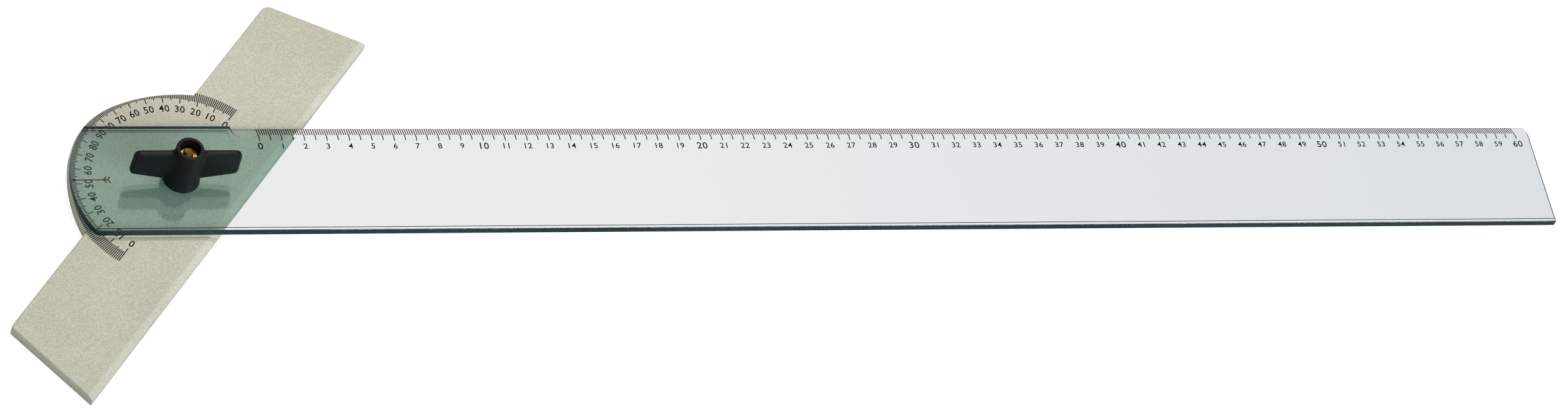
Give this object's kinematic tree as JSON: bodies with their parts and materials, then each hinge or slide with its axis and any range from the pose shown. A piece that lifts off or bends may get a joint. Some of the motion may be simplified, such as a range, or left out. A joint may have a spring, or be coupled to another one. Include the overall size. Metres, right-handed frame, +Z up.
{
  "type": "adjustable t-square",
  "caption": "Adjustable drafting T-square: a flat stock with a protractor lobe and a clear graduated straightedge that swivels on it and is clamped by a wing nut.",
  "frame": {"origin": "on the swivel axis, on the plane that the stock's underside lies on; the clamp bolt's head is flush with it there", "axes": "+X along the straightedge from the swivel to its far end, +Z up out of the stock towards the wing nut"},
  "size_m": [0.7249, 0.2023, 0.032],
  "materials": {
    "stock_plastic": "fine matt moulded",
    "clear_acrylic": "clear, polished, pale blue-green at the edges",
    "zinc_steel": "zinc plated",
    "black_plastic": "satin moulded",
    "insert_brass": "turned"
  },
  "bodies": {
    "stock_body": {"stock": "stock_plastic", "clamp_bolt": "zinc_steel"},
    "straightedge_body": {"straightedge": "clear_acrylic"},
    "washer_body": {"pressure_washer": "zinc_steel"},
    "wing_nut_body": {"wing_nut_grip": "black_plastic", "threaded_insert": "insert_brass"}
  },
  "joints": [
    {"name": "straightedge_swivel", "type": "hinge", "parent": "stock_body", "child": "straightedge_body", "pos_m": [0, 0, 0.00695], "axis": [0, 0, 1], "continuous": true},
    {"name": "washer_lift", "type": "slide", "parent": "stock_body", "child": "washer_body", "axis": [0, 0, 1], "range_m": [0, 0.0016]},
    {"name": "wing_nut_turn", "type": "hinge", "parent": "washer_body", "child": "wing_nut_body", "pos_m": [0, 0, 0.02], "axis": [0, 0, 1], "range_deg": [0, 720]}
  ],
  "couplings": [
    {"joint": "washer_lift", "follows": "wing_nut_turn", "m_per_rad": 0.00012732}
  ]
}
